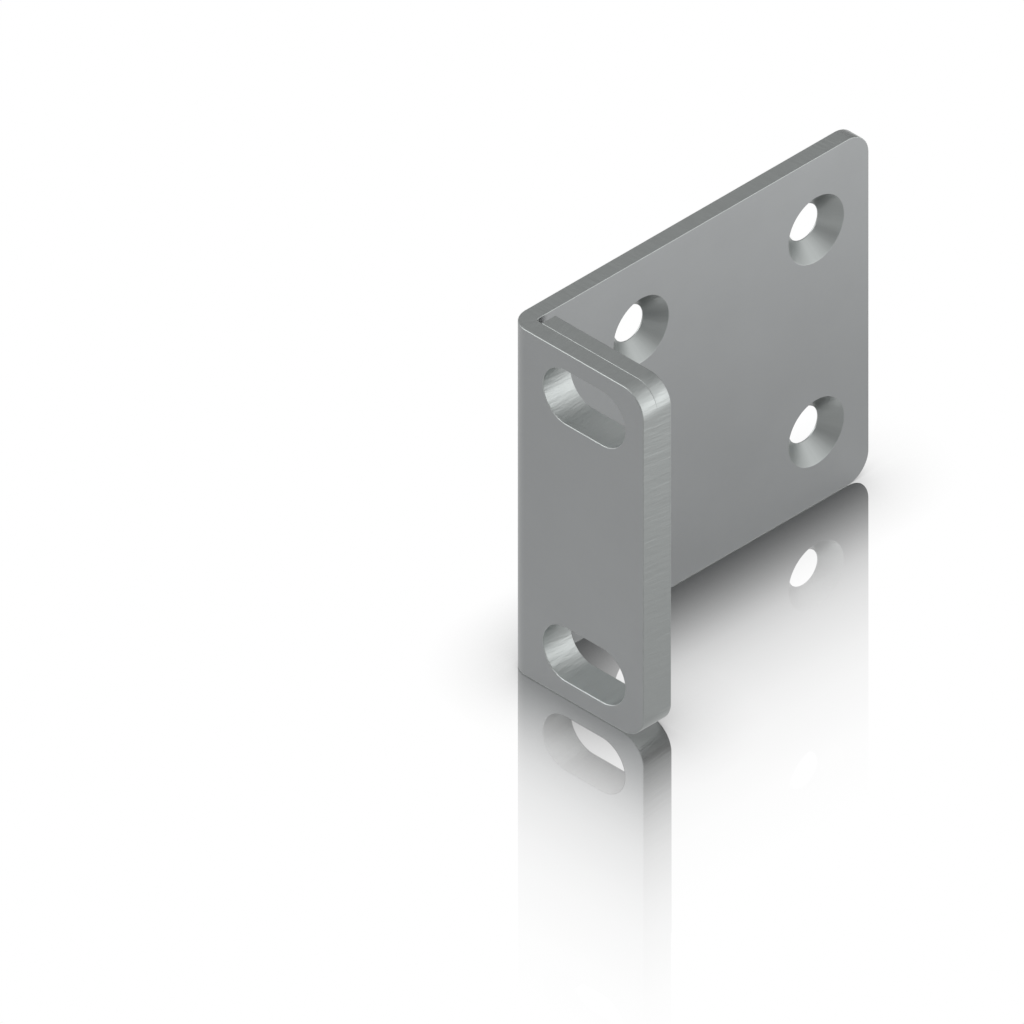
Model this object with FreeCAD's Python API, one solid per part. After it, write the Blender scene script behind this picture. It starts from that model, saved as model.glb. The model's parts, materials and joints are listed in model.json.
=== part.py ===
# Rack mount ear bracket for one side of a device one rack unit high, with all sizes in millimetres.
# It is two pieces of sheet steel: a folded bracket, and a doubler plate that is welded flush
# to the back of the bracket's ear, so that the ear is twice as thick where it is bolted to a rack.
# The pieces are drawn with X along the ear, away from the device, Y from the front face of the ear
# to the rear edge of the side plate, and Z up. Zero is the sharp corner that the fold rounds off,
# at the base, and the finished pieces are moved so that it is the middle of the base.

import FreeCAD
import Part

import math
import os

from FreeCAD import Vector

# The rack: the height of one unit, what the bracket leaves of it free, and how far from
# the unit's edge its screws lie
RACK_UNIT = 44.45
UNIT_CLEARANCE = 1.75
SCREW_FROM_UNIT_EDGE = 6.35

# Folded bracket
EAR_WIDTH = 19.4
SIDE_DEPTH = 49.6
SHEET = 2.0
INNER_BEND_RADIUS = 0.5
CORNER_RADIUS = 3.0

# Doubler plate behind the ear, cut square at its inner end, which stops short of the side plate
DOUBLER_SHEET = 2.0
DOUBLER_GAP = 0.9

# Level slots for the rack screws, one near each end of the ear, and how far from the device
# their middle lies
SLOT_LENGTH = 11.7
SLOT_HEIGHT = 6.6
SLOT_X = 10.9

# Countersunk holes for the screws that hold the side plate to the device
HOLE_DIAMETER = 4.2
COUNTERSINK_DIAMETER = 7.9
COUNTERSINK_ANGLE = 90.0
HOLE_SPACING_DEPTH = 25.0
HOLE_SPACING_HEIGHT = 25.0
REAR_HOLE_INSET = 7.5

# Shallow round marks that the welding electrode leaves in the back of the doubler
WELD_MARK_DIAMETER = 5.0
WELD_MARK_DEPTH = 0.12
WELD_SPACING = 14.0

# Width of the small bevel that tumbling leaves on the sheared edges
EDGE_BREAK = 0.1

# How far a cutter runs past the faces that it cuts, and how close two equal places lie
OVERCUT = 1.0
TOUCH = 1e-4

# Sizes and places that follow from those above
HEIGHT = RACK_UNIT - UNIT_CLEARANCE
SLOT_SPACING = RACK_UNIT - 2 * SCREW_FROM_UNIT_EDGE
OUTER_BEND_RADIUS = INNER_BEND_RADIUS + SHEET
EAR_BACK = SHEET + DOUBLER_SHEET
DOUBLER_START = SHEET + DOUBLER_GAP
MIDDLE = HEIGHT / 2
SLOT_HEIGHTS = [MIDDLE - SLOT_SPACING / 2, MIDDLE + SLOT_SPACING / 2]
WELD_HEIGHTS = [MIDDLE - WELD_SPACING / 2, MIDDLE + WELD_SPACING / 2]
REAR_HOLE_DEPTH = SIDE_DEPTH - REAR_HOLE_INSET
HOLE_DEPTHS = [REAR_HOLE_DEPTH - HOLE_SPACING_DEPTH, REAR_HOLE_DEPTH]
HOLE_HEIGHTS = [MIDDLE - HOLE_SPACING_HEIGHT / 2, MIDDLE + HOLE_SPACING_HEIGHT / 2]

ALONG_X = Vector(1, 0, 0)
ALONG_Y = Vector(0, 1, 0)
ALONG_Z = Vector(0, 0, 1)


def closed_face(start, steps):
    """Flat face whose outline leaves start, where a step is a corner or an arc (middle, end)."""
    here = start
    edges = []
    for step in steps:
        if isinstance(step, tuple):
            middle, end = step
            edges.append(Part.Arc(here, middle, end).toShape())
        else:
            end = step
            edges.append(Part.LineSegment(here, end).toShape())
        here = end
    return Part.Face(Part.Wire(edges))


def on_circle(centre, radius, degrees):
    """Point on a level circle, at an angle counted from +X towards +Y."""
    turn = math.radians(degrees)
    return centre + Vector(radius * math.cos(turn), radius * math.sin(turn), 0)


def fold_section():
    """Level section of the folded sheet: down the side plate, round the fold and along the ear."""
    bend = Vector(OUTER_BEND_RADIUS, OUTER_BEND_RADIUS, 0)
    rear_outer = Vector(0, SIDE_DEPTH, 0)
    outer_fold = (on_circle(bend, OUTER_BEND_RADIUS, 225), on_circle(bend, OUTER_BEND_RADIUS, 270))
    inner_fold = (on_circle(bend, INNER_BEND_RADIUS, 225), on_circle(bend, INNER_BEND_RADIUS, 180))
    return closed_face(rear_outer, [
        on_circle(bend, OUTER_BEND_RADIUS, 180),
        outer_fold,
        Vector(EAR_WIDTH, 0, 0),
        Vector(EAR_WIDTH, SHEET, 0),
        on_circle(bend, INNER_BEND_RADIUS, 270),
        inner_fold,
        Vector(SHEET, SIDE_DEPTH, 0),
        rear_outer,
    ])


def round_corners(plate, axis, place):
    """Round the upper and the lower corner of a plate's free end, which lies at place along axis."""
    corners = []
    for edge in plate.Edges:
        ends = [vertex.Point for vertex in edge.Vertexes]
        at_free_end = all(abs(end.dot(axis) - place) < TOUCH for end in ends)
        at_base = all(abs(end.z) < TOUCH for end in ends)
        at_top = all(abs(end.z - HEIGHT) < TOUCH for end in ends)
        if at_free_end and (at_base or at_top):
            corners.append(edge)
    return plate.makeFillet(CORNER_RADIUS, corners)


def rack_slots():
    """Cutters for the round-ended slots, long enough for the ear and the doubler together."""
    radius = SLOT_HEIGHT / 2
    cutters = []
    for height in SLOT_HEIGHTS:
        centre = Vector(SLOT_X, -OVERCUT, height)
        left = centre - ALONG_X * (SLOT_LENGTH / 2 - radius)
        right = centre + ALONG_X * (SLOT_LENGTH / 2 - radius)
        outline = closed_face(left - ALONG_Z * radius, [
            right - ALONG_Z * radius,
            (right + ALONG_X * radius, right + ALONG_Z * radius),
            left + ALONG_Z * radius,
            (left - ALONG_X * radius, left - ALONG_Z * radius),
        ])
        cutters.append(outline.extrude(ALONG_Y * (EAR_BACK + 2 * OVERCUT)))
    return cutters


def countersunk_holes():
    """Cutters for the side plate's screw holes, sunk into the face that looks away from the device."""
    hole_radius = HOLE_DIAMETER / 2
    mouth_radius = COUNTERSINK_DIAMETER / 2
    slope = math.tan(math.radians(COUNTERSINK_ANGLE / 2))
    sink_depth = (mouth_radius - hole_radius) / slope
    cutters = []
    for depth in HOLE_DEPTHS:
        for height in HOLE_HEIGHTS:
            inside = Vector(-OVERCUT, depth, height)
            tip = Vector(SHEET - sink_depth, depth, height)
            cutters.append(Part.makeCylinder(hole_radius, SHEET + 2 * OVERCUT, inside, ALONG_X))
            cutters.append(Part.makeCone(
                hole_radius, mouth_radius + OVERCUT * slope, sink_depth + OVERCUT, tip, ALONG_X))
    return cutters


def weld_marks():
    """Balls that each cut a shallow round mark into the back of the doubler."""
    mark_radius = WELD_MARK_DIAMETER / 2
    ball_radius = (mark_radius**2 + WELD_MARK_DEPTH**2) / (2 * WELD_MARK_DEPTH)
    ball_y = EAR_BACK - WELD_MARK_DEPTH + ball_radius
    return [Part.makeSphere(ball_radius, Vector(SLOT_X, ball_y, height)) for height in WELD_HEIGHTS]


def is_skin(face, skins):
    """Whether a face is a side of the sheet: one of the given planes, or one side of the fold."""
    surface = face.Surface
    if isinstance(surface, Part.Plane):
        for axis, place in skins:
            square = abs(abs(surface.Axis.dot(axis)) - 1) < TOUCH
            if square and abs(face.CenterOfMass.dot(axis) - place) < TOUCH:
                return True
        return False
    return isinstance(surface, Part.Cylinder) and abs(abs(surface.Axis.z) - 1) < TOUCH


def is_machined(face):
    """Whether a face is part of a drilled hole, a countersink or a weld mark, whose edges stay sharp."""
    surface = face.Surface
    drilled = isinstance(surface, Part.Cylinder) and abs(surface.Radius - HOLE_DIAMETER / 2) < TOUCH
    return drilled or isinstance(surface, (Part.Cone, Part.Sphere))


def break_edges(solid, skins):
    """Bevel each edge at which a side of the sheet meets a cut through its thickness."""
    sheared = []
    for edge in solid.Edges:
        faces = solid.ancestorsOfType(edge, Part.Face)
        at_skin = sum(is_skin(face, skins) for face in faces) == 1
        if at_skin and not any(is_machined(face) for face in faces):
            sheared.append(edge)
    return solid.makeChamfer(EDGE_BREAK, sheared)


def build_folded_bracket():
    """Folded sheet with rounded corners, two slots in its ear and four countersunk holes in its side."""
    sheet = fold_section().extrude(ALONG_Z * HEIGHT)
    sheet = round_corners(sheet, ALONG_X, EAR_WIDTH)
    sheet = round_corners(sheet, ALONG_Y, SIDE_DEPTH)
    sheet = sheet.cut(rack_slots() + countersunk_holes())
    return break_edges(sheet, [(ALONG_X, 0), (ALONG_X, SHEET), (ALONG_Y, 0), (ALONG_Y, SHEET)])


def build_doubler_plate():
    """Flat plate on the back of the ear, with the ear's outline and slots."""
    corner = Vector(DOUBLER_START, SHEET, 0)
    plate = Part.makeBox(EAR_WIDTH - DOUBLER_START, DOUBLER_SHEET, HEIGHT, corner)
    plate = round_corners(plate, ALONG_X, EAR_WIDTH)
    plate = plate.cut(rack_slots() + weld_marks())
    return break_edges(plate, [(ALONG_Y, SHEET), (ALONG_Y, EAR_BACK)])


def main():
    """Build both pieces, move zero to the middle of the base and write a file for each."""
    os.makedirs("parts", exist_ok=True)
    pieces = {
        "folded_bracket": build_folded_bracket(),
        "ear_doubler_plate": build_doubler_plate(),
    }
    for name, shape in pieces.items():
        solid = shape.Solids[0]
        solid.translate(Vector(-EAR_WIDTH / 2, -SIDE_DEPTH / 2, 0))
        solid.exportStep(f"parts/{name}.step")
        print(f"{name}: {solid.Volume:.1f} cubic mm, {len(solid.Faces)} faces")


main()
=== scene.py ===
"""Rack mount ear bracket of satin plated sheet steel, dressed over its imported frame.

The bracket is two pieces: a folded sheet, with slots in its ear and countersunk holes in its side
plate, and a doubler plate that is welded flush to the back of the ear. Both are modelled in
millimetres, with X along the ear, Y from its front face to the rear edge of the side plate and Z
up, where zero is the sharp corner that the fold rounds off, at the base. A finished piece is moved
to the frame, in metres.
"""

import json
import logging
import math
from collections.abc import Iterable, Sequence
from dataclasses import dataclass
from enum import Enum
from typing import Any

import bmesh
import bpy
from bmesh.types import BMEdge, BMesh, BMFace, BMVert
from mathutils import Matrix, Vector


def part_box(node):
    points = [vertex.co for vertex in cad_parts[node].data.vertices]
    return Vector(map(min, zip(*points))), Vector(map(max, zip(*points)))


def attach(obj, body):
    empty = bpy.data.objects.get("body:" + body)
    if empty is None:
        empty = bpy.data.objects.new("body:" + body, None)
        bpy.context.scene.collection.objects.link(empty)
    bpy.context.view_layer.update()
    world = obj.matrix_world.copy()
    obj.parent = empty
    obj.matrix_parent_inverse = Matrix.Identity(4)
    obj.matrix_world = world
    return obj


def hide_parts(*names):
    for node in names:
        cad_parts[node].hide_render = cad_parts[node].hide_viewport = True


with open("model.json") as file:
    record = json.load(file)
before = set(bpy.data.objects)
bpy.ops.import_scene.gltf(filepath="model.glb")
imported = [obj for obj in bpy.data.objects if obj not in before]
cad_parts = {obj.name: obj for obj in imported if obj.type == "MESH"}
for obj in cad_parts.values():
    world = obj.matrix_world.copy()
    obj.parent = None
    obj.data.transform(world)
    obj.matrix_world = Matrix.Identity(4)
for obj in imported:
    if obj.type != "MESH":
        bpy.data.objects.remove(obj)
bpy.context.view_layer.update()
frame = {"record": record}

LOG = logging.getLogger("bracket")

MM = 0.001
PER_METRE = 1000.0
BODY = "root"
BREAK_WEIGHT = "bevel_weight_edge"
FLAT_PATTERN = "flat_pattern"
ROUND_THE_HOLE = "round_the_hole"

Socket = bpy.types.NodeSocket
Node = bpy.types.Node
Material = bpy.types.Material
Colour = tuple[float, float, float, float]
Stop = tuple[float, float]

# How far apart two places, in millimetres, or two normals may lie and still count as the same
TOUCH = 1e-4
CLOSE = 1e-3
NEAR = 0.01

# Red and blue of the plated sides and of the cut edges, as shares of their green
SKIN_TINT = (0.971, 1.010)
CUT_TINT = (0.953, 0.988)

# The middle part of a random pattern, which carries nearly all of it, and a narrower one
PATTERN_RANGE = (0.3, 0.7)
CUT_RANGE = (0.34, 0.66)

# Where on the quarter turn a rounded mouth starts
MOUTH_START = math.radians(12)

# How many clear sheets a ray has passed when it comes off the floor, and when it does so twice
OFF_THE_FLOOR = 0.5
OFF_THE_FLOOR_TWICE = 1.5


def grey(level: float) -> Colour:
    """Give a neutral colour of a linear level."""
    return (level, level, level, 1.0)


def tinted(level: float, tint: tuple[float, float]) -> Colour:
    """Give a grey of a linear level whose red and blue are changed by the factors of a tint."""
    return (level * tint[0], level, level * tint[1], 1.0)


class Shader:
    """Lays out a node tree from the top, one node at a time."""

    def __init__(self, tree: bpy.types.NodeTree) -> None:
        """Start the tree with no nodes."""
        self.tree = tree
        tree.nodes.clear()

    def node(
        self,
        kind: str,
        inputs: dict[str | int, Any] | None = None,
        **settings: Any,
    ) -> Node:
        """Add a node, with its inputs linked or set.

        Args:
            kind: the node's type.
            inputs: a socket to link or a value to set, by the input's name or number.
            settings: the node's own fields.

        Returns:
            The new node.
        """
        node = self.tree.nodes.new(kind)
        for name, value in settings.items():
            setattr(node, name, value)
        for name, value in (inputs or {}).items():
            socket = node.inputs[name]
            if isinstance(value, Socket):
                self.tree.links.new(value, socket)
            else:
                socket.default_value = value
        return node

    def math(self, operation: str, *values: Socket | float) -> Socket:
        """Work out one number from others."""
        return self.node("ShaderNodeMath", dict(enumerate(values)), operation=operation).outputs[0]

    def vector(self, operation: str, *values: Socket | Sequence[float]) -> Node:
        """Work out a vector, or a number, from vectors."""
        return self.node("ShaderNodeVectorMath", dict(enumerate(values)), operation=operation)

    def uv(self, name: str) -> Socket:
        """Read one of the piece's own UV maps."""
        return self.node("ShaderNodeUVMap", uv_map=name).outputs["UV"]

    def place(self) -> Socket:
        """Read the place on the piece, in metres."""
        return self.node("ShaderNodeTexCoord").outputs["Object"]

    def noise(
        self,
        where: Socket,
        per_unit: Sequence[float],
        detail: float = 2.0,
        roughness: float = 0.5,
    ) -> Socket:
        """Add a soft random pattern.

        Args:
            where: the coordinates that the pattern follows.
            per_unit: how many blots there are to a unit, along each coordinate.
            detail: how many finer layers it has.
            roughness: how strong the finer layers are.

        Returns:
            The pattern, around 0.5.
        """
        mapped = self.node("ShaderNodeMapping", {"Vector": where, "Scale": tuple(per_unit)})
        texture = self.node("ShaderNodeTexNoise", {
            "Vector": mapped.outputs["Vector"],
            "Scale": 1.0,
            "Detail": detail,
            "Roughness": roughness,
        })
        return texture.outputs[0]

    def spread(self, value: Socket, low: float, high: float) -> Socket:
        """Carry the middle part of a pattern to the range from low to high."""
        node = self.node("ShaderNodeMapRange", {
            "Value": value,
            "From Min": PATTERN_RANGE[0],
            "From Max": PATTERN_RANGE[1],
            "To Min": low,
            "To Max": high,
        })
        return node.outputs["Result"]

    def blend(self, parts: Sequence[tuple[Socket, float]]) -> Socket:
        """Add patterns up, each with its weight."""
        total = self.math("MULTIPLY", parts[0][0], parts[0][1])
        for pattern, weight in parts[1:]:
            total = self.math("MULTIPLY_ADD", pattern, weight, total)
        return total

    def ramp(self, value: Socket, stops: Sequence[tuple[float, Colour]]) -> Socket:
        """Turn a number from 0 to 1 into a colour.

        Args:
            value: the number.
            stops: places from 0 to 1, each with its colour.

        Returns:
            The colour.
        """
        node = self.node("ShaderNodeValToRGB", {0: value})
        elements = node.color_ramp.elements
        while len(elements) < len(stops):
            elements.new(1.0)
        for element, (position, colour) in zip(elements, stops):
            element.position = position
            element.color = colour
        return node.outputs["Color"]

    def curve(self, value: Socket, stops: Sequence[Stop]) -> Socket:
        """Turn a number from 0 to 1 into the level of a curve through the stops."""
        return self.ramp(value, [(place, grey(level)) for place, level in stops])

    def mix(self, share: Socket, first: Socket, second: Socket) -> Socket:
        """Blend two numbers, where a share of 0 gives the first one."""
        return self.node("ShaderNodeMix", {0: share, 2: first, 3: second}).outputs[0]

    def mix_shaders(self, share: Socket, first: Node, second: Node) -> Node:
        """Blend two shaders, where a share of 0 gives the first one."""
        return self.node(
            "ShaderNodeMixShader", {0: share, 1: first.outputs[0], 2: second.outputs[0]})

    def show(self, surface: Node) -> None:
        """Show a shader on the surface."""
        self.node("ShaderNodeOutputMaterial", {"Surface": surface.outputs[0]})

    def metal(self, colour: Socket, roughness: Socket, height: Socket, relief: float) -> None:
        """Show bare metal on the surface.

        Args:
            colour: its colour.
            roughness: how matt it is.
            height: the pattern that stands up from it, from 0 to 1.
            relief: how high the pattern stands, in metres.
        """
        bump = self.node("ShaderNodeBump", {"Height": height, "Strength": 1.0, "Distance": relief})
        self.show(self.node("ShaderNodeBsdfPrincipled", {
            "Base Color": colour,
            "Metallic": 1.0,
            "Roughness": roughness,
            "Normal": bump.outputs["Normal"],
        }))


def new_material(name: str) -> tuple[Material, Shader]:
    """Make a material and the shader that lays out its nodes."""
    made = bpy.data.materials.new(name)
    made.use_nodes = True
    return made, Shader(made.node_tree)


class Metal(Enum):
    """The finish of a face, by its place among the material slots of its piece."""

    SKIN = 0
    SHEARED = 1
    TURNED = 2
    PUNCHED = 3


@dataclass(frozen=True)
class Finish:
    """A finish of bare metal, between two colours and two degrees of roughness.

    The tones give the part of its pattern over which it goes from dark to light. Its relief is how
    high the pattern stands, in metres.
    """

    name: str
    dark: Colour
    light: Colour
    gloss: tuple[float, float]
    relief: float
    tones: tuple[float, float] = CUT_RANGE

    def patterns(self, shader: Shader) -> tuple[Socket, Socket, Socket]:
        """Lay out the patterns of the colour, of the roughness and of the relief."""
        raise NotImplementedError

    def colour(self, shader: Shader, tone: Socket) -> Socket:
        """Turn the pattern of the colour into the colour."""
        return shader.ramp(tone, list(zip(self.tones, (self.dark, self.light))))

    def material(self) -> Material:
        """Make the material."""
        made, shader = new_material(self.name)
        tone, wear, height = self.patterns(shader)
        shader.metal(
            self.colour(shader, tone), shader.spread(wear, *self.gloss), height, self.relief)
        return made


@dataclass(frozen=True)
class SatinSkin(Finish):
    """Satin plating on the sides of the rolled sheet.

    The fine grain runs along the sheet, as the mill rolled it, under a soft clouding of the bath.
    """

    name: str = "satin_plated_skin"
    dark: Colour = tinted(0.268, SKIN_TINT)
    light: Colour = tinted(0.286, SKIN_TINT)
    gloss: tuple[float, float] = (0.34, 0.42)
    relief: float = 0.0000025
    tones: tuple[float, float] = PATTERN_RANGE
    cloud_per_mm: float = 0.14
    grain_per_mm: tuple[float, float] = (0.35, 7.0)
    peel_per_metre: float = 1400.0

    def patterns(self, shader: Shader) -> tuple[Socket, Socket, Socket]:
        """Lay out the clouds, the grain and the fine peel of the plating."""
        flat = shader.uv(FLAT_PATTERN)
        clouds = shader.noise(flat, (self.cloud_per_mm, self.cloud_per_mm, 1.0), 3.0)
        grain = shader.noise(flat, (*self.grain_per_mm, 1.0), 3.0, 0.6)
        peel = shader.noise(shader.place(), (self.peel_per_metre,) * 3, 1.0)
        return (
            shader.blend([(clouds, 0.6), (grain, 0.4)]),
            shader.blend([(clouds, 0.3), (grain, 0.5), (peel, 0.2)]),
            shader.blend([(grain, 0.5), (peel, 0.5)]))


@dataclass(frozen=True)
class ShearedEdge(Finish):
    """Plated edges that were sheared or punched, with score lines across the sheet's thickness."""

    name: str = "sheared_edge"
    dark: Colour = tinted(0.270, CUT_TINT)
    light: Colour = tinted(0.286, CUT_TINT)
    gloss: tuple[float, float] = (0.32, 0.40)
    relief: float = 0.00007
    score_per_mm: float = 1.5
    fine_per_mm: float = 6.0
    pits_per_metre: float = 2600.0

    def patterns(self, shader: Shader) -> tuple[Socket, Socket, Socket]:
        """Lay out the coarse scores, the fine ones and the pits."""
        flat = shader.uv(FLAT_PATTERN)
        scores = shader.noise(flat, (self.score_per_mm, self.score_per_mm, 1.0), 2.0, 0.6)
        fine = shader.noise(flat, (self.fine_per_mm, self.fine_per_mm, 1.0), 1.0)
        pits = shader.noise(shader.place(), (self.pits_per_metre,) * 3, 2.0)
        tone = shader.blend([(scores, 0.55), (fine, 0.25), (pits, 0.2)])
        return tone, tone, shader.blend([(scores, 0.86), (fine, 0.08), (pits, 0.06)])


@dataclass(frozen=True)
class PunchedSlot(ShearedEdge):
    """Walls of the slots, which the punch leaves rougher than a sheared edge. Their colour is
    lighter, which is painted light against the shade inside the slots.

    The floor of the lower slot has more painted light still. The curve of that follows the height
    over the base, as a share of its reach.
    """

    name: str = "punched_slot"
    # Painted light: lighter than the sheared edge, to lift the shade inside the slots.
    dark: Colour = tinted(0.350, CUT_TINT)
    light: Colour = tinted(0.378, CUT_TINT)
    gloss: tuple[float, float] = (0.44, 0.52)
    relief: float = 0.00008
    score_per_mm: float = 2.0
    # Painted light on the floor of the lower slot: its reach in height, how much it adds and its
    # curve.
    painted_light_reach: float = 0.005
    painted_light_added: float = 0.25
    pale: tuple[Stop, ...] = ((0.0, 0.0), (0.428, 0.0), (0.434, 1.0), (0.44, 1.0), (0.51, 0.0))

    def colour(self, shader: Shader, tone: Socket) -> Socket:
        """Turn the pattern of the scores into the colour, with painted light on the floor of the
        lower slot.
        """
        height = shader.node("ShaderNodeSeparateXYZ", {0: shader.place()}).outputs["Z"]
        # Painted light: the floor of the lower slot is made lighter by the curve.
        floor = shader.curve(shader.math("DIVIDE", height, self.painted_light_reach), self.pale)
        with_painted_light = shader.math("MULTIPLY_ADD", floor, self.painted_light_added, 1.0)
        return shader.vector("MULTIPLY", super().colour(shader, tone), with_painted_light).outputs[0]


@dataclass(frozen=True)
class TurnedSink(Finish):
    """Countersinks and their holes, with faint rings of the cutter and streaks down the cone."""

    name: str = "turned_countersink"
    dark: Colour = tinted(0.270, CUT_TINT)
    light: Colour = tinted(0.290, CUT_TINT)
    gloss: tuple[float, float] = (0.36, 0.43)
    relief: float = 0.000004
    streaks_per_mm: float = 1.5
    rings_per_metre: float = 9000.0

    def patterns(self, shader: Shader) -> tuple[Socket, Socket, Socket]:
        """Lay out the streaks and the rings."""
        around = shader.uv(ROUND_THE_HOLE)
        streaks = shader.noise(around, (self.streaks_per_mm, self.streaks_per_mm, 1.0), 2.0)
        rings = shader.noise(shader.place(), (self.rings_per_metre, 0.0, 0.0), 1.0)
        tone = shader.blend([(streaks, 0.7), (rings, 0.3)])
        return tone, tone, shader.blend([(streaks, 0.4), (rings, 0.6)])


def wire(bm: BMesh, points: Iterable[Sequence[float]]) -> list[BMVert | BMEdge]:
    """Draw an open line through the points.

    Args:
        bm: the mesh that takes it.
        points: its corners, in order.

    Returns:
        Its vertices and edges.
    """
    verts = [bm.verts.new(point) for point in points]
    return verts + [bm.edges.new(pair) for pair in zip(verts, verts[1:])]


def only_edges(geometry: Iterable[BMVert | BMEdge | BMFace]) -> list[BMEdge]:
    """Pick the edges out of mixed geometry."""
    return [item for item in geometry if isinstance(item, BMEdge)]


def only_verts(geometry: Iterable[BMVert | BMEdge | BMFace]) -> list[BMVert]:
    """Pick the vertices out of mixed geometry."""
    return [item for item in geometry if isinstance(item, BMVert)]


def is_level(edge: BMEdge) -> bool:
    """Say whether both ends of an edge lie at one height."""
    return abs(edge.verts[0].co.z - edge.verts[1].co.z) < TOUCH


def lip(size: float, steps: int) -> list[tuple[float, float]]:
    """Round the mouth of a cut.

    Args:
        size: the radius of the rounding.
        steps: the number of flats on it.

    Returns:
        How deep below the sheet's side, and how far outside the cut, each corner of the rounding
        lies. The first is a hair below the side, so that the cutter crosses it squarely.
    """
    turn = (math.pi / 2 - MOUTH_START) / steps
    angles = [MOUTH_START + step * turn for step in range(steps + 1)]
    return [(size * (1 - math.cos(angle)), size * (1 - math.sin(angle))) for angle in angles]


def bevel(bm: BMesh, edges: list[BMEdge], size: float, segments: int) -> None:
    """Round edges of a mesh to a radius."""
    bmesh.ops.bevel(
        bm, geom=edges, offset=size, offset_type="OFFSET", segments=segments, profile=0.5,
        affect="EDGES", material=-1, clamp_overlap=False)


def spin_round(
    bm: BMesh,
    section: Iterable[Sequence[float]],
    centre: Vector,
    axis: Sequence[float],
    steps: int,
) -> None:
    """Spin a section all the way round.

    Args:
        bm: the mesh that takes it.
        section: the corners of the section, in order, from the axis to the axis.
        centre: a point of the axis.
        axis: the way that the axis points.
        steps: the number of flats round it.
    """
    bmesh.ops.spin(
        bm, geom=wire(bm, section), cent=centre, axis=axis, angle=2 * math.pi, steps=steps,
        use_merge=True)
    bmesh.ops.remove_doubles(bm, verts=bm.verts, dist=TOUCH)


@dataclass
class Slot:
    """A level, round-ended slot that is punched through one sheet, with both mouths rounded."""

    centre: Vector
    length: float
    height: float
    front: float
    back: float
    front_break: float
    back_break: float
    steps: int = 32
    mouth_steps: int = 4
    overcut: float = 0.6

    def cut(self, bm: BMesh) -> None:
        """Add the cutter: its section is spun round both ends and drawn along both flats."""
        radius = self.height / 2
        front = lip(self.front_break, self.mouth_steps)
        back = lip(self.back_break, self.mouth_steps)
        section = [(self.front - self.overcut, radius + front[0][1])]
        section += [(self.front + depth, radius + out) for depth, out in front]
        section += [(self.back - depth, radius + out) for depth, out in reversed(back)]
        section.append((self.back + self.overcut, radius + back[0][1]))
        run = Vector((self.length - self.height, 0, 0))
        left = self.centre - run / 2
        right = self.centre + run / 2
        geometry = wire(bm, [(left.x, y, left.z - out) for y, out in section])
        for turning, move in ((left, run), (right, -run)):
            spun = bmesh.ops.spin(
                bm, geom=geometry, cent=turning, axis=(0, 1, 0), angle=math.pi, steps=self.steps)
            drawn = bmesh.ops.extrude_edge_only(bm, edges=only_edges(spun["geom_last"]))["geom"]
            bmesh.ops.translate(bm, verts=only_verts(drawn), vec=move)
            ends = set(only_verts(drawn))
            geometry = list(ends) + [
                edge for edge in only_edges(drawn) if all(vert in ends for vert in edge.verts)]
        bmesh.ops.remove_doubles(bm, verts=bm.verts, dist=TOUCH)
        bmesh.ops.holes_fill(bm, edges=[edge for edge in bm.edges if edge.is_boundary], sides=0)

    def holds(self, verts: Iterable[BMVert]) -> bool:
        """Say whether all the vertices lie in the slot or on its rounded mouths."""
        reach = self.height / 2 + max(self.front_break, self.back_break) + NEAR
        half_run = (self.length - self.height) / 2
        for vert in verts:
            across = max(abs(vert.co.x - self.centre.x) - half_run, 0.0)
            if math.hypot(across, vert.co.z - self.centre.z) > reach:
                return False
        return True


@dataclass
class CountersunkHole:
    """A screw hole through the side plate, sunk into the face that looks away from the device.

    The rim gives the corners of the countersink's rounded edge, from the sheet's side and from the
    edge, as shares of the mouth's break.
    """

    centre: Vector
    hole: float
    sink: float
    sheet: float
    mouth_break: float = 0.05
    rim: tuple[Stop, ...] = ((-1.0, -1.0), (-0.35, -0.15), (-0.05, 0.3))
    steps: int = 96
    mouth_steps: int = 3
    overcut: float = 0.6

    def cut(self, bm: BMesh) -> None:
        """Add the cutter: half of its section is spun all the way round."""
        inner = self.hole / 2
        outer = self.sink / 2
        small = self.mouth_break
        mouth = lip(small, self.mouth_steps)
        rim = [(self.sheet + up * small, outer + out * small) for up, out in self.rim]
        section = [(-self.overcut, 0.0), (-self.overcut, inner + mouth[0][1])]
        section += [(depth, inner + out) for depth, out in mouth]
        section += [(self.sheet - (outer - inner), inner), *rim]
        section += [(self.sheet + self.overcut, out) for out in (rim[-1][1], 0.0)]
        points = [(x, self.centre.y, self.centre.z - out) for x, out in section]
        spin_round(bm, points, self.centre, (1, 0, 0), self.steps)

    def holds(self, verts: Iterable[BMVert]) -> bool:
        """Say whether all the vertices lie in the hole or its countersink."""
        reach = self.sink / 2 + 2 * NEAR
        return all(self.out(vert.co).length < reach for vert in verts)

    def out(self, point: Vector) -> Vector:
        """Give the way from the hole's axis to a point, square to the axis."""
        return Vector((0, point.y - self.centre.y, point.z - self.centre.z))


@dataclass
class WeldMark:
    """A shallow round dish that the welding electrode pressed into the back of the doubler."""

    centre: Vector
    across: float = 5.0
    depth: float = 0.12
    past_rim: float = 1.15
    rings: int = 10
    steps: int = 72
    overcut: float = 0.6

    def cut(self, bm: BMesh) -> None:
        """Add the cutter: an arc that reaches a little past the rim is spun all the way round."""
        rim = self.across / 2
        ball = (rim**2 + self.depth**2) / (2 * self.depth)
        outs = [rim * self.past_rim * step / self.rings for step in range(self.rings + 1)]
        floor = self.centre.y - self.depth
        section = [(floor + ball - math.sqrt(ball**2 - out**2), out) for out in outs]
        section += [(self.centre.y + self.overcut, out) for out in (outs[-1], 0.0)]
        points = [(self.centre.x, y, self.centre.z - out) for y, out in section]
        spin_round(bm, points, self.centre, (0, 1, 0), self.steps)


Cut = Slot | CountersunkHole | WeldMark


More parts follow.
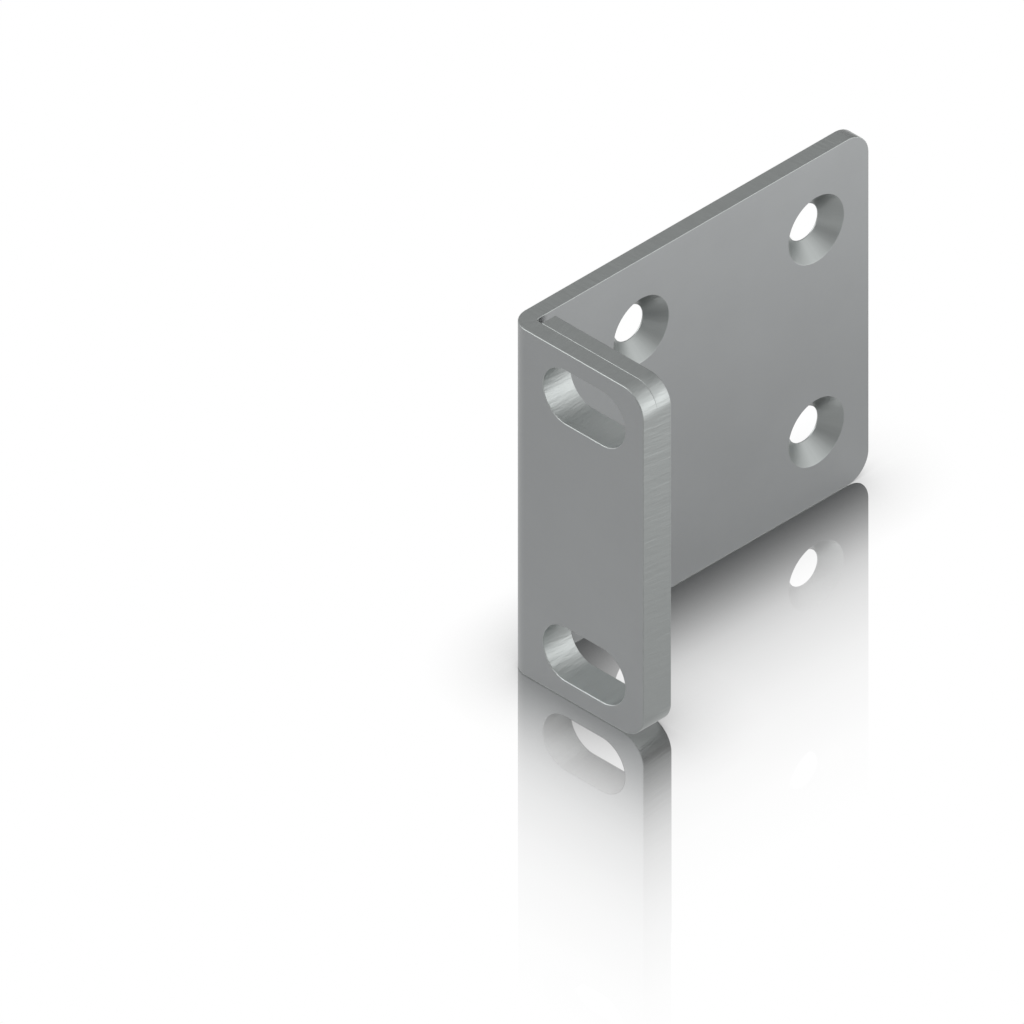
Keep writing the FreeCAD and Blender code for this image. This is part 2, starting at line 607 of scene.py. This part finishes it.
@dataclass
class Measures:
    """Sizes in millimetres that both pieces share, read from the frame and its mounts."""

    corner: Vector
    width: float
    depth: float
    height: float
    sheet: float
    doubler_start: float
    ear_back: float
    slot_length: float
    slot_height: float
    slot_centres: list[Vector]
    hole: float
    hole_centres: list[Vector]
    bend_inner: float = 0.5
    corner_radius: float = 3.0
    edge_break: float = 0.125
    mouth_break: float = 0.11
    seam_break: float = 0.002
    sink: float = 7.9

    @classmethod
    def read(cls) -> "Measures":
        """Read the boxes of the two nodes and the mounts.

        Returns:
            The sizes, with places counted from the sharp corner of the fold at the base.
        """
        low, high = (corner * PER_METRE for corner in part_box("folded_bracket"))
        plate_low, plate_high = (corner * PER_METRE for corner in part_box("ear_doubler_plate"))
        mounts = {mount["name"]: mount for mount in frame["record"]["mounts"]}
        slots = mounts["rack_slots"]
        holes = mounts["side_holes"]
        slot_middle = Vector(slots["pos_m"]) * PER_METRE - low
        hole_middle = Vector(holes["pos_m"]) * PER_METRE - low
        slot_rise = Vector((0, 0, slots["dims"]["spacing_y_mm"] / 2))
        hole_rise = Vector((0, 0, holes["dims"]["spacing_y_mm"] / 2))
        hole_run = Vector((0, holes["dims"]["spacing_x_mm"] / 2, 0))
        return cls(
            corner=low,
            width=high.x - low.x,
            depth=high.y - low.y,
            height=high.z - low.z,
            sheet=plate_low.y - low.y,
            doubler_start=plate_low.x - low.x,
            ear_back=plate_high.y - low.y,
            slot_length=slots["dims"]["slot_length_mm"],
            slot_height=slots["dims"]["hole_r_mm"] * 2,
            slot_centres=[slot_middle - slot_rise, slot_middle + slot_rise],
            hole=holes["dims"]["hole_r_mm"] * 2,
            hole_centres=[
                hole_middle + hole_run * along + hole_rise * up
                for along in (-1, 1) for up in (-1, 1)],
        )

    @property
    def bend_outer(self) -> float:
        """Radius of the outside of the fold."""
        return self.bend_inner + self.sheet

    @property
    def middle(self) -> float:
        """Height of the middle of the bracket."""
        return self.height / 2

    def along_sheet(self, point: Vector) -> float:
        """Follow the unfolded sheet to a point.

        Args:
            point: a place on either piece.

        Returns:
            How far along the sheet it lies from the start of the fold, less than zero on the side
            plate.
        """
        bend = self.bend_outer
        fold = (self.bend_inner + self.sheet / 2) * math.pi / 2
        if self.on_side_plate(point):
            return bend - point.y
        if point.x > bend:
            return fold + point.x - bend
        return fold * math.atan2(bend - point.y, bend - point.x) / (math.pi / 2)

    def on_side_plate(self, point: Vector) -> bool:
        """Say whether a point lies on the flat part of the side plate."""
        return point.y > self.bend_outer and point.x < self.sheet + NEAR

    def across_sheet(self, point: Vector) -> float:
        """Give how deep a point lies in the sheet, from the outside of the fold."""
        return point.x if self.on_side_plate(point) else point.y


@dataclass
class SheetPiece:
    """A piece of the bracket, cut from sheet, with a finish for each kind of face.

    The scores of its cut edges lean, by a share of the depth in the sheet. An edge of its shape
    shows as sharp above an angle in degrees.
    """

    measures: Measures
    finishes: list[Material]
    name: str = "sheet_piece"
    node: str = ""
    break_steps: int = 4
    score_lean: float = 0.12
    sharp_above: float = 33.0

    def blank(self) -> BMesh:
        """Make the sheet before anything is cut through it."""
        raise NotImplementedError

    def slots(self, front: Stop, back: Stop) -> list[Cut]:
        """List the slots through the sheet, between two planes, each with its mouth's break."""
        size = self.measures
        return [
            Slot(centre, size.slot_length, size.slot_height, front[0], back[0], front[1], back[1])
            for centre in size.slot_centres]

    def cuts(self) -> list[Cut]:
        """List what is cut through or into the sheet."""
        raise NotImplementedError

    def metal(self, face: BMFace) -> Metal:
        """Choose the finish of a face."""
        raise NotImplementedError

    def is_side(self, face: BMFace) -> bool:
        """Say whether a face is a side of the sheet."""
        raise NotImplementedError

    def mark_edges(self, bm: BMesh) -> None:
        """Weigh the edges between a side of the sheet and a cut through its thickness.

        Args:
            bm: the blank.
        """
        weight = bm.edges.layers.float.new(BREAK_WEIGHT)
        for edge in bm.edges:
            if sum(self.is_side(face) for face in edge.link_faces) == 1:
                edge[weight] = self.break_share(edge)

    def at_seam(self, edge: BMEdge) -> bool:
        """Say whether an edge lies where the two sheets meet."""
        size = self.measures
        return all(
            abs(vert.co.y - size.sheet) < TOUCH and vert.co.x > size.bend_outer - TOUCH
            for vert in edge.verts)

    def break_share(self, edge: BMEdge) -> float:
        """Give an edge its share of the full edge break."""
        raise NotImplementedError

    def carve(self, bm: BMesh) -> bpy.types.Mesh:
        """Take the cuts out of the blank.

        Args:
            bm: the blank, which is used up.

        Returns:
            The mesh that is left.
        """
        tools = bmesh.new()
        for cut in self.cuts():
            single = bmesh.new()
            cut.cut(single)
            bmesh.ops.recalc_face_normals(single, faces=single.faces)
            part = bpy.data.meshes.new("cut")
            single.to_mesh(part)
            single.free()
            tools.from_mesh(part)
            bpy.data.meshes.remove(part)
        self.mark_edges(bm)
        whole = mesh_object("blank", bm)
        cutter = mesh_object("cutter", tools)
        rounding = whole.modifiers.new("edge_break", "BEVEL")
        rounding.limit_method = "WEIGHT"
        rounding.width = self.measures.edge_break
        rounding.segments = self.break_steps
        rounding.use_clamp_overlap = False
        boolean = whole.modifiers.new("cuts", "BOOLEAN")
        boolean.operation = "DIFFERENCE"
        boolean.solver = "EXACT"
        boolean.object = cutter
        evaluated = whole.evaluated_get(bpy.context.evaluated_depsgraph_get())
        carved = bpy.data.meshes.new_from_object(evaluated)
        for used in (whole, cutter):
            data = used.data
            bpy.data.objects.remove(used)
            bpy.data.meshes.remove(data)
        return carved

    def dress(self, bm: BMesh) -> None:
        """Give each face its finish and lay the two UV maps.

        Args:
            bm: the carved piece, in millimetres.
        """
        flat = bm.loops.layers.uv.new(FLAT_PATTERN)
        around = bm.loops.layers.uv.new(ROUND_THE_HOLE)
        holes = [cut for cut in self.cuts() if isinstance(cut, CountersunkHole)]
        for face in bm.faces:
            face.smooth = True
            face.material_index = self.metal(face).value
            hole = next((hole for hole in holes if hole.holds(face.verts)), None)
            lean = 0.0 if face.material_index == Metal.SKIN.value else self.score_lean
            for loop in face.loops:
                point = loop.vert.co
                shift = lean * self.measures.across_sheet(point)
                loop[flat].uv = (self.measures.along_sheet(point) + shift, point.z + shift)
                if hole:
                    loop[around].uv = hole.out(point).normalized().yz * (hole.sink / 2)

    def build(self) -> None:
        """Make the piece and put it in the place of its node."""
        carved = self.carve(self.blank())
        bm = bmesh.new()
        bm.from_mesh(carved)
        bmesh.ops.remove_doubles(bm, verts=bm.verts, dist=TOUCH / 10)
        self.dress(bm)
        to_frame = Matrix.Scale(MM, 4) @ Matrix.Translation(self.measures.corner)
        bmesh.ops.transform(bm, matrix=to_frame, verts=bm.verts)
        piece = mesh_object(self.name, bm)
        bpy.data.meshes.remove(carved)
        for material in self.finishes:
            piece.data.materials.append(material)
        piece.data.set_sharp_from_angle(angle=math.radians(self.sharp_above))
        shading = piece.modifiers.new("flat_sides", "WEIGHTED_NORMAL")
        shading.keep_sharp = True
        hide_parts(self.node)
        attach(piece, BODY)
        LOG.info("%s: %d faces", self.name, len(piece.data.polygons))


@dataclass
class FoldedBracket(SheetPiece):
    """Folded sheet with rounded corners, two slots in its ear and four countersunk holes."""

    name: str = "folded_sheet"
    node: str = "folded_bracket"
    inner_share: float = 0.6
    fold_steps: int = 20
    corner_steps: int = 28

    def blank(self) -> BMesh:
        """Draw the sharp section, raise it and round the fold and the free corners."""
        size = self.measures
        bm = bmesh.new()
        corners = [
            (0, 0), (size.width, 0), (size.width, size.sheet),
            (size.sheet, size.sheet), (size.sheet, size.depth), (0, size.depth)]
        section = bm.faces.new([bm.verts.new((x, y, 0)) for x, y in corners])
        raised = bmesh.ops.extrude_face_region(bm, geom=[section])["geom"]
        bmesh.ops.translate(bm, verts=only_verts(raised), vec=(0, 0, size.height))
        for place, radius in ((0.0, size.bend_outer), (size.sheet, size.bend_inner)):
            fold = [
                edge for edge in bm.edges
                if all(abs(v.co.x - place) + abs(v.co.y - place) < TOUCH for v in edge.verts)]
            bevel(bm, fold, radius, self.fold_steps)
        free = [
            edge for edge in bm.edges
            if is_level(edge)
            and (all(v.co.x > size.width - TOUCH for v in edge.verts)
                 or all(v.co.y > size.depth - TOUCH for v in edge.verts))]
        bevel(bm, free, size.corner_radius, self.corner_steps)
        bmesh.ops.recalc_face_normals(bm, faces=bm.faces)
        return bm

    def cuts(self) -> list[Cut]:
        """List the two slots and the four holes."""
        size = self.measures
        holes = [
            CountersunkHole(centre, size.hole, size.sink, size.sheet)
            for centre in size.hole_centres]
        return self.slots((0.0, size.mouth_break), (size.sheet, size.seam_break)) + holes

    def is_side(self, face: BMFace) -> bool:
        """Say whether a face is a side of the sheet, and not a cut through its thickness."""
        size = self.measures
        middle = face.calc_center_bounds()
        rim = size.edge_break + CLOSE
        inboard = middle.x < size.width - rim and middle.y < size.depth - rim
        return abs(face.normal.z) < CLOSE and inboard

    def break_share(self, edge: BMEdge) -> float:
        """Keep the back edges of the ear sharp, and break the side plate's inner edges less."""
        size = self.measures
        if self.at_seam(edge):
            return 0.0
        inner = all(min(vert.co.x, vert.co.y) > size.sheet - TOUCH for vert in edge.verts)
        return self.inner_share if inner else 1.0

    def metal(self, face: BMFace) -> Metal:
        """Choose between the plated sides, the sheared edges and the turned holes."""
        for cut in self.cuts():
            if cut.holds(face.verts):
                return Metal.TURNED if isinstance(cut, CountersunkHole) else Metal.PUNCHED
        return Metal.SKIN if self.is_side(face) else Metal.SHEARED


@dataclass
class DoublerPlate(SheetPiece):
    """Flat plate on the back of the ear, with the ear's outline and slots."""

    name: str = "ear_doubler"
    node: str = "ear_doubler_plate"
    corner_steps: int = 28
    weld_spacing: float = 14.0
    least_share: float = 0.2
    flat_above: float = 0.98

    def blank(self) -> BMesh:
        """Stretch a cube to the plate and round its outer corners."""
        size = self.measures
        low = Vector((size.doubler_start, size.sheet, 0))
        high = Vector((size.width, size.ear_back, size.height))
        stretched = Matrix.Translation((low + high) / 2) @ Matrix.Diagonal((*(high - low), 1))
        bm = bmesh.new()
        bmesh.ops.create_cube(bm, size=1.0, matrix=stretched)
        outer = [
            edge for edge in bm.edges
            if is_level(edge) and all(v.co.x > high.x - TOUCH for v in edge.verts)]
        bevel(bm, outer, size.corner_radius, self.corner_steps)
        bmesh.ops.recalc_face_normals(bm, faces=bm.faces)
        return bm

    def cuts(self) -> list[Cut]:
        """List the two slots and the two weld marks."""
        size = self.measures
        middle = Vector((size.slot_centres[0].x, size.ear_back, size.middle))
        rise = Vector((0, 0, self.weld_spacing / 2))
        slots = self.slots((size.sheet, size.seam_break), (size.ear_back, size.mouth_break))
        return slots + [WeldMark(middle - rise), WeldMark(middle + rise)]

    def is_side(self, face: BMFace) -> bool:
        """Say whether a face is a side of the plate, or the floor of a weld mark."""
        return abs(face.normal.y) > self.flat_above

    def break_share(self, edge: BMEdge) -> float:
        """Let the break of the seam run out down the upper corner, and close it below."""
        size = self.measures
        if not self.at_seam(edge):
            return 1.0
        lower = min(vert.co.z for vert in edge.verts)
        share = 1 - (size.height - lower) / size.corner_radius
        return share if share > self.least_share else 0.0

    def metal(self, face: BMFace) -> Metal:
        """Choose between the plated sides, the sheared edges and the punched slots."""
        if any(isinstance(cut, Slot) and cut.holds(face.verts) for cut in self.cuts()):
            return Metal.PUNCHED
        return Metal.SKIN if self.is_side(face) else Metal.SHEARED


def mesh_object(name: str, bm: BMesh) -> bpy.types.Object:
    """Turn a mesh in the making into an object of the scene.

    Args:
        name: the name of the object.
        bm: its shape, which is used up.

    Returns:
        The object, at the origin.
    """
    mesh = bpy.data.meshes.new(name)
    bm.to_mesh(mesh)
    bm.free()
    made = bpy.data.objects.new(name, mesh)
    bpy.context.scene.collection.objects.link(made)
    return made


@dataclass
class FloorImage:
    """The bracket's image in the floor: how strongly the floor mirrors the bracket at each place.

    A place is counted in metres from the corner of the bracket, in the floor's own coordinates.
    The share of the mirror fades with the distance from the ear and from the side plate, as a share
    of its reach. The floor mirrors only where the picture's camera sees the image of the bracket in
    it, which the rounded lower corners and the lower slot bound.
    """

    measures: Measures
    shader: Shader
    reach: float = 0.040
    fade: tuple[Stop, ...] = (
        (0.0, 1.0), (0.015, 0.98), (0.025, 0.955), (0.05, 0.907), (0.075, 0.85), (0.10, 0.793),
        (0.15, 0.67), (0.20, 0.538), (0.25, 0.425), (0.30, 0.34), (0.35, 0.274), (0.40, 0.227),
        (0.50, 0.142), (0.60, 0.085), (0.80, 0.02), (1.0, 0.0))
    deeper_in_slot: float = 0.0016
    share_behind_ear: float = 0.4

    def __post_init__(self) -> None:
        """Read the place, its X and Y, and their sum, on which the image's limits depend."""
        corner = self.measures.corner * MM
        self.place = self.shader.vector("SUBTRACT", self.shader.place(), corner).outputs[0]
        parts = self.shader.node("ShaderNodeSeparateXYZ", {0: self.place}).outputs
        self.across, self.depth = parts["X"], parts["Y"]
        self.along = self.shader.vector("DOT_PRODUCT", self.place, (1, 1, 0)).outputs["Value"]

    def beyond(self, width: float, depth: float) -> Socket:
        """Measure how far the place lies outside a foot that starts at the corner of the bracket.

        Args:
            width: the size of the foot along X, in millimetres.
            depth: the size of the foot along Y.

        Returns:
            The distance in metres, along X or along Y, whichever is more.
        """
        half = (width * MM / 2, depth * MM / 2, 0.0)
        away = self.shader.vector("SUBTRACT", self.place, half).outputs[0]
        away = self.shader.vector("ABSOLUTE", away).outputs[0]
        away = self.shader.vector("SUBTRACT", away, half).outputs[0]
        parts = self.shader.node("ShaderNodeSeparateXYZ", {0: away}).outputs
        return self.shader.math("MAXIMUM", self.shader.math("MAXIMUM", parts["X"], parts["Y"]), 0.0)

    def beside_ear(self) -> Socket:
        """Measure how far the place lies outside the foot of the ear."""
        return self.beyond(self.measures.width, self.measures.ear_back)

    def beside_plate(self) -> Socket:
        """Measure how far the place lies outside the foot of the side plate."""
        return self.beyond(self.measures.sheet, self.measures.depth)

    def faded(self, farther: Socket) -> Socket:
        """Turn the distance from a foot of the bracket into how strongly the floor mirrors."""
        return self.shader.curve(self.shader.math("DIVIDE", farther, self.reach), self.fade)

    def rounding(self, height: Socket) -> Socket:
        """Follow a rounded lower corner.

        Args:
            height: a height over the base, in metres.

        Returns:
            How far the corner reaches at that height, less its radius.
        """
        calc = self.shader.math
        radius = self.measures.corner_radius * MM
        below = calc("MAXIMUM", calc("SUBTRACT", radius, height), 0.0)
        squared = calc("SUBTRACT", radius**2, calc("MULTIPLY", below, below))
        return calc("SUBTRACT", calc("SQRT", calc("MAXIMUM", squared, 0.0)), radius)

    def in_slot(self, plane: float) -> Socket:
        """Say whether the mirrored view crosses a plane of the ear inside its lower slot.

        Args:
            plane: the Y of the plane, in metres.

        Returns:
            One or zero.
        """
        calc = self.shader.math
        size = self.measures
        slot = size.slot_centres[0] * MM
        radius = size.slot_height / 2 * MM
        half_run = size.slot_length / 2 * MM - radius
        across = calc("ABSOLUTE", calc("SUBTRACT", self.along, slot.x + plane))
        across = calc("MAXIMUM", calc("SUBTRACT", across, half_run), 0.0)
        rise = calc("SUBTRACT", plane - slot.z, self.depth)
        out = calc("MULTIPLY_ADD", rise, rise, calc("MULTIPLY", across, across))
        return calc("LESS_THAN", out, radius**2)

    def ear_share(self) -> Socket:
        """Work out how strongly the floor mirrors the ear.

        Returns:
            The share of the mirror. It is less behind the ear and inside the lower slot, and zero
            past the image of the rounded lower corner and where the view goes through the slot.
        """
        calc = self.shader.math
        back = self.measures.ear_back * MM
        from_back = calc("SUBTRACT", back, self.depth)
        limit = calc("ADD", self.rounding(from_back), self.measures.width * MM + back)
        behind = calc("LESS_THAN", from_back, 0.0)
        enters = self.in_slot(0.0)
        through = calc("MULTIPLY", enters, self.in_slot(back))
        shows = calc("MULTIPLY_ADD", behind, self.share_behind_ear - 1, 1.0)
        shows = calc("MULTIPLY", shows, calc("LESS_THAN", self.along, limit))
        shows = calc("MULTIPLY", shows, calc("SUBTRACT", 1.0, through))
        farther = calc("MULTIPLY_ADD", enters, self.deeper_in_slot, self.beside_ear())
        return calc("MULTIPLY", shows, self.faded(farther))

    def plate_share(self) -> Socket:
        """Work out how strongly the floor mirrors the side plate.

        Returns:
            The share of the mirror, which is zero past the image of the rear lower corner.
        """
        calc = self.shader.math
        size = self.measures
        height = calc("SUBTRACT", self.across, size.sheet * MM)
        limit = calc("ADD", self.rounding(height), (size.depth + size.sheet) * MM)
        shows = calc("LESS_THAN", self.along, limit)
        return calc("MULTIPLY", self.faded(self.beside_plate()), shows)

    def share(self) -> Socket:
        """Work out how strongly the floor mirrors the whole bracket.

        Returns:
            The share of the mirror, which is zero past the image of the fold.
        """
        calc = self.shader.math
        either = calc("MAXIMUM", self.ear_share(), self.plate_share())
        fold_edge = (2 - math.sqrt(2)) * self.measures.bend_outer * MM
        return calc("MULTIPLY", either, calc("GREATER_THAN", self.along, fold_edge))


@dataclass
class StudioFloor:
    """Glossy white floor that mirrors the bracket near its feet and fades to plain white.

    Close to the bracket it is shaded by what stands over it, and less so in the bracket's image.
    The metal sees it brighter on the side of the large soft box, by a curve over its own reach. A
    clear film lies on it, by which the room tells what is seen in the floor from what is seen
    directly.
    """

    measures: Measures
    name: str = "studio_floor"
    film_name: str = "studio_floor_film"
    half_width: float = 1.5
    gap: float = 0.00002
    film_gap: float = 0.00001
    share_in_metal: float = 0.9
    clear_in_metal: tuple[float, float] = (0.0001, 0.0004)
    shade_reach: float = 0.010
    shade_samples: int = 12
    shade_power: float = 0.7
    image_power: float = 0.4
    least_cover: float = 0.5
    shade_in_metal: float = 0.1
    level_in_image: float = 0.52
    matt_level: float = 0.85
    bright_towards: tuple[float, float, float] = (0.81, 0.587, 0.0)
    bright_reach: float = 0.4
    bright_added: float = 1.55
    bright: tuple[Stop, ...] = (
        (0.0, 0.0), (0.05, 0.0), (0.07, 0.02), (0.0875, 0.07), (0.1125, 0.11), (0.1375, 0.16),
        (0.1625, 0.22), (0.275, 0.53), (0.5, 0.94), (1.0, 1.0))

    def clearance(self, image: FloorImage) -> Socket:
        """Give zero under the bracket's feet and one a hair beside them."""
        nearer = image.shader.math("MINIMUM", image.beside_ear(), image.beside_plate())
        return image.shader.node("ShaderNodeMapRange", {
            "Value": nearer,
            "From Min": self.clear_in_metal[0],
            "From Max": self.clear_in_metal[1],
        }).outputs["Result"]

    def level_in_metal(self, shader: Shader, eased: Socket, clear: Socket, twice: Socket) -> Socket:
        """Work out the white that the metal sees.

        Args:
            shader: the floor's nodes.
            eased: the shade, as weak as the metal sees it.
            clear: zero under the bracket's feet and one beside them.
            twice: one where the floor sees the metal that sees the floor.

        Returns:
            The level of the white.
        """
        towards = shader.vector("DOT_PRODUCT", shader.place(), self.bright_towards).outputs["Value"]
        bright = shader.curve(shader.math("DIVIDE", towards, self.bright_reach), self.bright)
        lit = shader.math("MULTIPLY_ADD", bright, self.bright_added, eased)
        again = shader.math("MULTIPLY_ADD", clear, self.level_in_image - 1, 1.0)
        return shader.mix(twice, lit, again)

    def material(self) -> Material:
        """Make the floor's material, which only lamps and walls see as matt."""
        made, shader = new_material("glossy_white_floor")
        image = FloorImage(self.measures, shader)
        path = shader.node("ShaderNodeLightPath").outputs
        camera = path["Is Camera Ray"]
        clear = self.clearance(image)
        lessened = shader.math("MULTIPLY", clear, self.share_in_metal)
        share = shader.math("MULTIPLY", image.share(), shader.math("MAXIMUM", lessened, camera))
        cover = shader.node(
            "ShaderNodeAmbientOcclusion", {"Distance": self.shade_reach},
            samples=self.shade_samples).outputs["AO"]
        shade = shader.math("POWER", cover, self.shade_power)
        eased = shader.math("MULTIPLY_ADD", shade, self.shade_in_metal, 1 - self.shade_in_metal)
        in_image = shader.math(
            "POWER", shader.math("MAXIMUM", cover, self.least_cover), self.image_power)
        twice = shader.math("GREATER_THAN", path["Transparent Depth"], OFF_THE_FLOOR_TWICE)
        lit = self.level_in_metal(shader, eased, clear, twice)
        white = shader.node("ShaderNodeEmission", {
            "Color": grey(1.0),
            "Strength": shader.mix(camera, lit, shade),
        })
        mirror = shader.node("ShaderNodeBsdfGlossy", {
            "Color": shader.mix(camera, eased, in_image),
            "Roughness": 0.0,
        })
        matt = shader.node("ShaderNodeBsdfDiffuse", {"Color": grey(self.matt_level)})
        seen = shader.math("MAXIMUM", camera, path["Is Glossy Ray"])
        seen = shader.math("MAXIMUM", seen, path["Is Transmission Ray"])
        shader.show(shader.mix_shaders(seen, matt, shader.mix_shaders(share, white, mirror)))
        return made

    def film_material(self) -> Material:
        """Make the film's material, which shows only what lies behind it."""
        made, shader = new_material("clear_film")
        shader.show(shader.node("ShaderNodeBsdfTransparent"))
        return made

    def sheet(self, name: str, gap: float, material: Material) -> bpy.types.Object:
        """Lay one square sheet, a gap below the bracket's base."""
        bm = bmesh.new()
        bmesh.ops.create_grid(bm, x_segments=1, y_segments=1, size=self.half_width)
        bmesh.ops.translate(bm, verts=bm.verts, vec=(0, 0, -gap))
        laid = mesh_object(name, bm)
        laid.data.materials.append(material)
        return laid

    def build(self) -> None:
        """Lay the floor and its film a hair below the bracket's base."""
        floor = self.sheet(self.name, self.gap, self.material())
        film = self.sheet(self.film_name, self.film_gap, self.film_material())
        film.visible_shadow = False
        film.visible_diffuse = False


@dataclass
class SoftBox:
    """A large round soft box, as the metal sees it.

    Its fade gives the share of its radiance at angles from its middle, in degrees.
    """

    towards: tuple[float, float, float]
    radiance: float
    fade: tuple[Stop, ...]

    def glow(self, shader: Shader, way: Socket) -> Socket:
        """Work out what it adds to the room.

        Args:
            shader: the room's nodes.
            way: the direction looked in.

        Returns:
            The level added.
        """
        aim = tuple(Vector(self.towards).normalized())
        facing = shader.vector("DOT_PRODUCT", way, aim).outputs["Value"]
        angle = shader.math("DIVIDE", shader.math("ARCCOSINE", facing), math.pi)
        share = shader.curve(angle, [(degrees / 180, share) for degrees, share in self.fade])
        return shader.math("MULTIPLY", share, self.radiance)


@dataclass
class StudioRoom:
    """The pale room round the bracket, white to the camera and in the floor.

    Its walls are brighter to the front left and overhead. The soft boxes show in the metal, but
    not in the metal's image in the floor.
    """

    middle: float = 0.475
    slope: tuple[float, float, float] = (-0.2945, -0.2515, 0.45)
    least: float = 0.05
    more_in_image: float = 1.12
    boxes: tuple[SoftBox, ...] = (
        SoftBox((0.80, 0.58, 0.15), 3.9, (
            (0, 1.0), (10, 0.76), (20, 0.48), (30, 0.365), (42, 0.265), (54, 0.12), (68, 0.0))),
        SoftBox((-1.0, -1.0, 1.0), 3.0, ((0, 1.0), (10, 0.97), (23, 0.5), (36, 0.0))),
    )

    def build(self) -> None:
        """Make the world."""
        world = bpy.data.worlds.new("studio_room")
        world.use_nodes = True
        world.cycles.sampling_method = "NONE"
        bpy.context.scene.world = world
        shader = Shader(world.node_tree)
        way = shader.node("ShaderNodeTexCoord").outputs["Generated"]
        rise = shader.vector("DOT_PRODUCT", way, self.slope).outputs["Value"]
        walls = shader.math("MAXIMUM", shader.math("ADD", rise, self.middle), self.least)
        path = shader.node("ShaderNodeLightPath").outputs
        direct = shader.math("LESS_THAN", path["Transparent Depth"], OFF_THE_FLOOR)
        level = shader.mix(direct, shader.math("MULTIPLY", walls, self.more_in_image), walls)
        for box in self.boxes:
            level = shader.math("MULTIPLY_ADD", box.glow(shader, way), direct, level)
        plain = shader.math("MAXIMUM", path["Is Camera Ray"], path["Is Singular Ray"])
        plain = shader.math("MAXIMUM", plain, path["Is Transmission Ray"])
        shown = shader.node("ShaderNodeBackground", {"Color": grey(1.0), "Strength": level})
        white = shader.node("ShaderNodeBackground", {"Color": grey(1.0)})
        mixed = shader.mix_shaders(plain, shown, white)
        shader.node("ShaderNodeOutputWorld", {"Surface": mixed.outputs[0]})


@dataclass
class OverheadLamp:
    """A wide, weak lamp above the bracket."""

    name: str = "overhead_lamp"
    radiance: float = 0.6
    width: float = 0.5
    height: float = 0.9

    def build(self, aim: Vector) -> None:
        """Hang the lamp.

        Args:
            aim: the point that it hangs over, in metres.
        """
        light = bpy.data.lights.new(self.name, "AREA")
        light.shape = "DISK"
        light.size = self.width
        light.energy = self.radiance * math.pi * self.width**2
        lamp = bpy.data.objects.new(self.name, light)
        lamp.location = aim + Vector((0, 0, self.height))
        bpy.context.scene.collection.objects.link(lamp)


@dataclass
class PictureCamera:
    """The camera at the picture's viewing angle, which sees without perspective.

    It is set by the pixel on which the sharp corner of the fold falls, at the base.
    """

    azimuth: float = 44.977
    elevation: float = 35.180
    image: float = 1024.0
    pixels_per_mm: float = 9.903
    corner_across: float = 507.544
    corner_down: float = 665.454
    distance: float = 1000.0
    clip: tuple[float, float] = (0.01, 100.0)

    def build(self, corner: Vector) -> None:
        """Place the camera so that the corner falls on its pixel.

        Args:
            corner: the sharp corner of the fold at the base, in millimetres.
        """
        turn = math.radians(self.azimuth)
        tilt = math.radians(self.elevation)
        right = Vector((math.cos(turn), math.sin(turn), 0))
        back = Vector((
            math.sin(turn) * math.cos(tilt), -math.cos(turn) * math.cos(tilt), math.sin(tilt)))
        up = back.cross(right)
        aim = corner + right * ((self.image / 2 - self.corner_across) / self.pixels_per_mm)
        aim += up * ((self.corner_down - self.image / 2) / self.pixels_per_mm)
        data = bpy.data.cameras.new("picture_camera")
        data.type = "ORTHO"
        data.ortho_scale = self.image / self.pixels_per_mm * MM
        data.clip_start, data.clip_end = self.clip
        camera = bpy.data.objects.new("picture_camera", data)
        facing = Matrix((right, up, back)).transposed().to_4x4()
        camera.matrix_world = Matrix.Translation((aim + back * self.distance) * MM) @ facing
        bpy.context.scene.collection.objects.link(camera)
        bpy.context.scene.camera = camera


@dataclass
class Studio:
    """Room, floor, lamp and camera."""

    measures: Measures

    def build(self) -> None:
        """Set the studio up round the bracket."""
        bpy.context.scene.view_settings.view_transform = "Standard"
        size = self.measures
        middle = size.corner + Vector((size.width, size.depth, size.height)) / 2
        StudioRoom().build()
        StudioFloor(size).build()
        OverheadLamp().build(middle * MM)
        PictureCamera().build(size.corner)
        LOG.info("studio: room, floor, lamp and camera")


def main() -> None:
    """Build the studio and both pieces."""
    logging.basicConfig(level=logging.INFO, format="%(name)s: %(message)s")
    measures = Measures.read()
    Studio(measures).build()
    finishes = [
        SatinSkin().material(), ShearedEdge().material(), TurnedSink().material(),
        PunchedSlot().material()]
    FoldedBracket(measures, finishes).build()
    DoublerPlate(measures, finishes).build()


if __name__ == "__main__":
    main()
